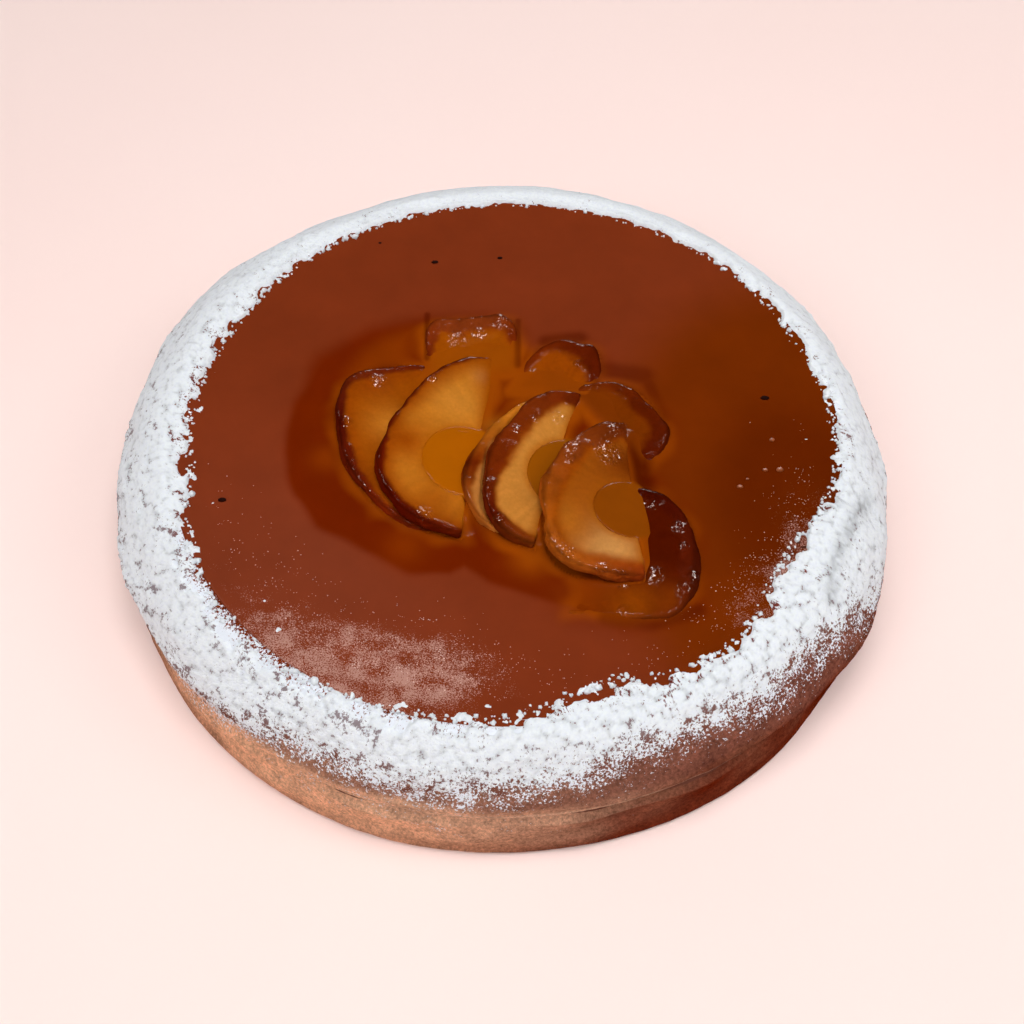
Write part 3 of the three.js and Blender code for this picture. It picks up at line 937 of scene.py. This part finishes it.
class SlicePoints:
    """Points of one slice, in mm: where they are, and how they lie to its skin."""

    def __init__(self, spec, world, seed):
        self.spec, self.world, self.seed = spec, world, seed
        self.local = (world - spec["at"]) @ slice_turn(spec)
        self.to_edge, self.along = nearest_on_line(self.local[:, :2], skin_line(spec))
        width = self.along_skin(np.array(spec["rind"])) * (1 + 0.6 * rough_noise(world, 7, seed))
        self.from_skin = self.to_edge - width
        width = width + 0.5 * noise(world, 2.2, seed + 8)
        on_face = smoothstep(1.15 * width + 0.6, 0.8 * width - 0.3, self.to_edge)
        self.on_side = smoothstep(-0.6, -1.4, self.local[:, 2])
        self.skin = np.maximum(on_face, self.on_side * smoothstep(3.0, 1.6, self.to_edge))

    def along_skin(self, values):
        """Values given at even steps along the skin edge, at each point."""
        return np.interp(self.along, np.linspace(0, 1, len(values)), values)

    def places_along_skin(self):
        """Places for noise that is drawn out along the skin edge, different for each slice."""
        length = 2 * self.spec["half_length"] + self.spec["depth"]
        return np.c_[self.along * length / SPARKLE_STRETCH, self.to_edge, self.local[:, 2] + self.seed]


def with_spots(colours, flat, spots):
    """Colours with soft spots of other colours, at points seen from above."""
    for x, y, radius, colour in spots:
        near = np.exp(-(np.hypot(flat[:, 0] - x, flat[:, 1] - y) / radius) ** 2)
        colours = toward(colours, colour, near)
    return colours


def flesh_colours(spec, flat):
    """Colour of a slice's flesh, with its spots, at points seen from above."""
    return with_spots(np.tile(seen(spec["flesh"]), (len(flat), 1)), flat, spec.get("spots", ()))


def peel_colours(slice_points):
    """Colour of the skin, darker at its very edge, and lighter down its side as painted light, since the side
    gets less light.
    """
    peel = seen(slice_points.spec["peel"])
    colours = np.stack([slice_points.along_skin(channel) for channel in peel.T], axis=1)
    edge = smoothstep(1.6, 0.2, slice_points.to_edge) * (1 - slice_points.on_side)
    uneven = 0.35 * rough_noise(slice_points.world, 5, slice_points.seed + 5)
    # The side of the skin is made lighter as painted light
    shade = 1 - 0.4 * edge + 0.3 * slice_points.on_side + uneven
    return colours * shade[:, None]


def slice_colours(slice_points):
    """Colour of flesh and skin: stained by the skin and the core, soaked where it dips into the jelly."""
    spec, local, world, seed = slice_points.spec, slice_points.local, slice_points.world, slice_points.seed
    to_core = distance_to_line(local[:, :2], core_line(spec))
    flesh = flesh_colours(spec, world[:, :2])
    reach = spec.get("stain", 5) * (1 + 0.4 * noise(world, 10, seed + 1))
    stain = smoothstep(reach, -1, slice_points.from_skin)
    flesh = stained(flesh, FLESH_BY_SKIN, stain)
    flesh = stained(flesh, FLESH_BY_CORE, 0.7 * smoothstep(4, 0.3, to_core))
    fibre = noise(np.c_[direction_of(local[:, :2] + (0, 4)) * 0.3, to_core * 0.2], 1.0, seed + 9)
    flesh = flesh * (1 + 0.07 * fibre + 0.16 * rough_noise(world, 9, seed + 3))[:, None]
    soaked = smoothstep(JELLY_LEVEL + 2.2, JELLY_LEVEL + 0.2, world[:, 2])
    flesh = stained(flesh, FLESH_WET, soaked)
    skin = slice_points.skin[:, None]
    return np.clip(flesh * (1 - skin) + peel_colours(slice_points) * skin, 0, 1)


def slice_swell(slice_points):
    """Movement of each point along its normal: a wrinkled skin edge round soft, hollow flesh."""
    world = slice_points.world
    top = smoothstep(-2.0, -0.6, slice_points.local[:, 2])
    wrinkles = slice_points.skin * (0.7 * noise(world, 6.0, 65) + 0.4 * rough_noise(world, 3.0, 62))
    crinkles = 0.35 * glint_share(world) * rough_noise(world, 2.2, 64)
    hollow = 0.45 * smoothstep(0, 9, slice_points.from_skin) * top
    plump = slice_points.spec.get("plump", 0) * top * smoothstep(36, 46, world[:, 0])
    return 0.18 * rough_noise(world, 7, 61) + wrinkles + crinkles - hollow + plump


def glint_share(world):
    """How wet and crinkled each point is, from 0 to 1."""
    share = np.zeros(len(world))
    for x, y, radius in GLINTS:
        share = np.maximum(share, smoothstep(1.3, 0.5, np.hypot(world[:, 0] - x, world[:, 1] - y) / radius))
    return share


def apple_material():
    shader = Shader("cooked_apple", Roughness=0.14, Specular_Tint=(1.0, 0.85, 0.78, 1),
                    Subsurface_Weight=0.12, Subsurface_Radius=(0.004, 0.002, 0.0005))
    skin, glint = shader.attribute("skin", "Fac"), shader.attribute("glint", "Fac")
    tint = shader.times(shader.attribute("tint", "Color"), shader.uneven(1.1, 0.93, 1.07, 4, 0.6))
    shader.join(tint, "Base Color")
    dashes = shader.ramp(shader.noise(0.75, 2, 0.5, shader.attribute("skin_place", "Vector")), 0.5, 0.58)
    broken = shader.math("MULTIPLY", dashes, shader.ramp(shader.noise(1.1, 2, 0.6), 0.42, 0.52))
    flecks = shader.math("MULTIPLY", broken, glint)
    shader.join(shader.ramp(flecks, 0, 1, 0.006, 1.0), "Specular IOR Level")
    wrinkles = shader.math("MULTIPLY", shader.noise(2.8, 2, 0.5), shader.ramp(skin, 0, 1, 0.05, 0.4))
    crinkles = shader.math("MULTIPLY", shader.noise(1.3, 2, 0.5), shader.ramp(glint, 0, 1, 0.0, 0.8))
    shader.bump(shader.math("ADD", wrinkles, crinkles), 1.0)
    return shader.material


def vertex_values(mesh, field):
    """Rows of x, y and z of every point of a mesh."""
    values = np.zeros(len(mesh.vertices) * 3)
    mesh.vertices.foreach_get(field, values)
    return values.reshape(-1, 3)


def make_slices():
    material = apple_material()
    for order, (node, spec) in enumerate(SLICES.items()):
        mesh = fine_mesh_of(node)
        world = vertex_values(mesh, "co") / MM
        slice_points = SlicePoints(spec, world, 100 + 10 * order)
        shaped = world + vertex_values(mesh, "normal") * slice_swell(slice_points)[:, None]
        shaped[:, 2] += 0.5 * noise(world[:, :2], 16, 63)
        mesh.vertices.foreach_set("co", (shaped * MM).ravel())
        piece = new_piece_of_mesh("cooked_" + node, mesh, material)
        store_colour(piece, "tint", slice_colours(slice_points))
        store_number(piece, "skin", slice_points.skin)
        store_number(piece, "glint", np.maximum(glint_share(world), 0.05 * slice_points.skin))
        store_places(piece, "skin_place", slice_points.places_along_skin())
        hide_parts(node)


# Jelly

def slices_from_above(flat):
    """For each slice: distances to its skin and its cut, whether inside, its face's height, own places."""
    for spec in SLICES.values():
        rotation = slice_turn(spec)
        at = np.array(spec["at"], float)
        face = at[2] - (flat - at[:2]) @ rotation[:2, 2] / rotation[2, 2]
        local = ((np.c_[flat, face] - at) @ rotation)[:, :2]
        to_skin = distance_to_line(local, skin_line(spec, 30))
        to_core = distance_to_line(local, core_line(spec))
        inside = is_inside(local, np.vstack([skin_line(spec, 30), core_line(spec)]))
        yield spec, to_skin, to_core, inside, face, local


def pool_share(spec, local):
    """How much of each point lies in the jelly that fills a core's notch and laps over its edge."""
    if "notch" not in spec:
        return np.zeros(len(local))
    along, inward, radius = spec["notch"]
    away = np.hypot(local[:, 0] - along, local[:, 1] - inward)
    return smoothstep(radius + 2.4, radius + 0.9, away) * smoothstep(-7, -1, local[:, 1])


def jelly_rise(spec, local, to_skin, to_core, inside, stands):
    """How far the jelly climbs beside a slice: a little up its skin, and over the edge of its cut."""
    by_skin = np.where(inside, 0, 0.3 * np.minimum(stands, 1.6) * np.exp(-to_skin / 1.6))
    lap = np.where(inside, smoothstep(2.4, 0.8, to_core), np.exp(-(to_core / 2.8) ** 2))
    by_ends = smoothstep(spec["half_length"], spec["half_length"] - 7, abs(local[:, 0]))
    return np.maximum(by_skin, lap * by_ends * (stands - 0.35))


def jelly_shape_and_colours(flat):
    """Height and colour of the jelly's upper face at points seen from above."""
    level = JELLY_LEVEL + 0.1 * noise(flat, 24, 41) + jelly_cling(direction_of(flat), radius_of(flat))
    height = level.copy()
    to_slice = np.full(len(flat), 99.0)
    contact_shade = np.zeros(len(flat))
    under = np.zeros((len(flat), 3))
    see_through = np.zeros(len(flat))
    pools = []
    for spec, to_skin, to_core, inside, face, local in slices_from_above(flat):
        to_outline = np.minimum(to_skin, to_core)
        to_slice = np.minimum(to_slice, np.where(inside, 0, to_outline))
        stands = np.clip(face - JELLY_LEVEL, 0, 3)
        height = np.maximum(height, level + jelly_rise(spec, local, to_skin, to_core, inside, stands))
        beside = np.where(inside, 0, np.exp(-to_skin))
        # Painted shade in the jelly beside the skin of slices that stand out of it
        contact_shade = np.maximum(contact_shade, beside * smoothstep(0.5, 2, stands))
        depth = JELLY_LEVEL - face
        shallow = smoothstep(5, 0.5, depth) * smoothstep(-1.2, -0.2, depth)
        sunk = inside * shallow * smoothstep(0, 5, to_outline)
        under = np.where((sunk > see_through)[:, None], flesh_colours(spec, flat), under)
        see_through = np.maximum(see_through, sunk)
        pool = pool_share(spec, local)
        height = height + pool * np.maximum(face - 0.5 - height, 0)
        pools.append((pool, spec.get("pool", FLESH_WET)))
    colours = jelly_colours(flat, to_slice, contact_shade)
    colours = blend(colours, np.minimum(under, seen(FLESH_WET)), see_through)
    for pool, colour in pools:
        colours = toward(colours, colour, pool)
    return height, colours


def glaze_colours(flat):
    """Milky glaze, hazy at the left and clearer towards the right."""
    from_clear = np.hypot(*((flat - CLEAR_CENTRE) / CLEAR_REACH).T)
    haze = 0.022 * hump(direction_of(flat), *HAZY_LEFT) * smoothstep(40, 70, radius_of(flat))
    glaze = toward(seen(GLAZE_LEFT), DUST_FILM, haze)
    glaze = toward(glaze, GLAZE_RIGHT, smoothstep(1.45, 0.95, from_clear))
    glaze = toward(glaze, GLAZE_FAR_RIGHT, smoothstep(0.75, 0.3, from_clear))
    return glaze * (1 + 0.06 * rough_noise(flat, 30, 45))[:, None]


def halo_share(flat):
    """How much of each point is clear jelly round the fan, with a softer edge at the back and the right."""
    depth_in = -distance_outside(flat, HALO_OUTLINE) + noise(flat, 9, 43)
    softness = 3.5 + 6 * smoothstep(5, 40, flat[:, 1]) + 9 * smoothstep(15, 45, flat[:, 0])
    return smoothstep(-0.5, 0.5, depth_in / softness)


def painted_shade_share(flat):
    """How dark the painted shade strokes in the jelly are at each point, from 0 to 1."""
    dark = np.zeros(len(flat))
    for start, end, width, strength in PAINTED_SHADE_STROKES:
        away = distance_to_line(flat, [start, end])
        dark = np.maximum(dark, strength * smoothstep(1.6 * width, 0.3 * width, away))
    return dark


def jelly_colours(flat, to_slice, contact_shade):
    """Milky glaze, with clear dark jelly round the fan that turns amber beside the slices, and painted shade
    beside the slices' skins and in dark strokes.
    """
    clear = toward(seen(HALO_AMBER), HALO_DARK, smoothstep(0, 5, to_slice + 2 * noise(flat, 7, 46)))
    clear_share = np.maximum(halo_share(flat), 0.5 * smoothstep(6, 0, to_slice))
    colours = blend(glaze_colours(flat), clear, clear_share)
    colours = toward(colours, SUNK_AMBER, smoothstep(0, 10, -distance_outside(flat, SUNK_OUTLINE)))
    colours = with_spots(colours, flat, JELLY_SPOTS)
    return toward(colours, SHADE, np.maximum(0.6 * contact_shade, painted_shade_share(flat)))


def jelly_material():
    shader = Shader("caramel_jelly", Roughness=0.16, Specular_IOR_Level=0.015)
    tint = shader.times(shader.attribute("tint", "Color"), shader.uneven(14, 0.94, 1.06, 4, 0.6))
    grains = shader.stipple(shader.attribute("dust", "Fac"), 0.36)
    film = shader.ramp(grains, 0, 1, 0.0, 0.72)
    shader.join(shader.mix(film, tint, rgba(DUST_FILM)), "Base Color")
    shader.bump(shader.noise(2.2, 3), 0.04)
    return shader.material


def make_jelly():
    angles = np.linspace(0, 360, JELLY_AROUND, endpoint=False)
    radii = np.linspace(JELLY_CLING_END, 0.6, JELLY_ACROSS)
    across = len(radii) + 1
    profiles = np.zeros((len(angles), across, 2))
    profiles[:, 0, 0] = JELLY_RADIUS
    profiles[:, 1:, 0] = radii
    points = turned_points(angles, profiles)
    height, colours = jelly_shape_and_colours(points[:, :2])
    is_top = np.arange(len(points)) % across > 0
    points[:, 2] = np.where(is_top, height, RECESS_FLOOR)
    points, faces = closed_ring(points, across, (0, 0, RECESS_FLOOR), (0, 0, height[-1]))
    jelly = new_piece("caramel_jelly_top", points, faces, jelly_material())
    store_colour(jelly, "tint", np.vstack([colours, colours[-2:]]))
    streaks = noise(points[:, :2] / DUST_STREAK_STRETCH, 3.0, 32)
    store_number(jelly, "dust", NO_DUST + (1.4 + 0.25 * streaks) * jelly_dust(points))
    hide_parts("caramel_jelly")


# Small things on the jelly

def make_bits(name, places, colour, flatness, shine, rng):
    """Small uneven lumps half sunk in the jelly, in one mesh."""
    places = np.array(places)
    base, faces = ball_shape(3)
    stretch = np.array([1.0, 0.65, flatness])
    uneven = 1 + 0.18 * rng.uniform(-1, 1, (len(places), len(base), 1))
    centres = np.c_[places[:, :2], np.full(len(places), JELLY_LEVEL + 0.1)]
    points, faces = scattered(base, faces, centres, places[:, 2:, None] * stretch * uneven)
    shader = Shader(name, Roughness=0.9 - 0.8 * shine, Specular_IOR_Level=shine)
    shader.join(shader.times(rgba(colour), shader.uneven(0.6, 0.75, 1.25)), "Base Color")
    new_piece(name, points, faces, shader.material)


# Stage

def make_camera():
    data = bpy.data.cameras.new("camera")
    data.lens = CAMERA_LENS
    data.sensor_width = CAMERA_SENSOR
    camera = new_object("camera", data)
    elevation = math.radians(CAMERA_ELEVATION)
    back = Vector((0, -math.cos(elevation), math.sin(elevation)))
    camera.location = (Vector(CAMERA_AIM) + CAMERA_DISTANCE * back) * MM
    camera.rotation_euler = (math.pi / 2 - elevation, 0, 0)
    bpy.context.scene.camera = camera


def make_light(name, place_mm, size_mm, watts, for_highlights):
    """A square light that faces the tart, and either lights it or only shows as highlights."""
    data = bpy.data.lights.new(name, "AREA")
    data.size = size_mm * MM
    data.energy = watts
    light = new_object(name, data)
    light.location = Vector(place_mm) * MM
    light.rotation_euler = (-Vector(place_mm)).to_track_quat("-Z", "Y").to_euler()
    light.visible_diffuse = not for_highlights
    light.visible_glossy = for_highlights


def make_room():
    """Bright walls under a dark ceiling, without reflections, so that wet surfaces stay deep in colour."""
    world = bpy.data.worlds.new("studio")
    world.use_nodes = True
    tree = world.node_tree
    bright = tree.nodes["Background"]
    bright.inputs["Color"].default_value = ROOM_COLOUR
    upwards = tree.nodes.new("ShaderNodeSeparateXYZ")
    tree.links.new(tree.nodes.new("ShaderNodeTexCoord").outputs["Generated"], upwards.inputs[0])
    fall = tree.nodes.new("ShaderNodeMapRange")
    fall.inputs["From Min"].default_value = WALL_END
    fall.inputs["From Max"].default_value = CEILING_START
    fall.inputs["To Min"].default_value = WALL_LIGHT
    fall.inputs["To Max"].default_value = CEILING_LIGHT
    tree.links.new(upwards.outputs["Z"], fall.inputs["Value"])
    tree.links.new(fall.outputs[0], bright.inputs["Strength"])
    world.cycles_visibility.glossy = False
    bpy.context.scene.world = world


def make_floor():
    mesh = bpy.data.meshes.new("floor")
    reach = FLOOR_REACH * MM
    corners = [(-reach, -reach, 0), (reach, -reach, 0), (reach, reach, 0), (-reach, reach, 0)]
    mesh.from_pydata(corners, [], [(0, 1, 2, 3)])
    floor = new_object("floor", mesh)
    shader = Shader("pale_floor", Roughness=0.9, Specular_IOR_Level=0.1,
                    Emission_Color=FLOOR_GLOW, Emission_Strength=FLOOR_GLOW_STRENGTH)
    shader.join(shader.mix(shader.noise(220, 2), rgba(FLOOR_LIGHT), rgba(FLOOR_DEEP)), "Base Color")
    floor.data.materials.append(shader.material)


def make_stage():
    bpy.context.scene.view_settings.view_transform = "Standard"
    make_room()
    make_floor()
    for light in LIGHTS:
        make_light(*light)


def make_tart():
    rng = np.random.default_rng(7)
    make_crust()
    sugar = sugar_material()
    make_sugar_coat(sugar)
    make_sugar_clumps(sugar, rng)
    make_sugar_grains(grain_material(), rng)
    make_slices()
    make_jelly()
    make_bits("dark_specks", SPECKS, SPECK_DARK, flatness=0.25, shine=0.02, rng=rng)
    make_bits("syrup_drops", DROPS, SYRUP_AMBER, flatness=0.7, shine=0.5, rng=rng)
    make_bits("dark_crumbs", CRUMBS, CRUMB_BROWN, flatness=0.8, shine=0.05, rng=rng)


make_tart()
make_camera()
make_stage()
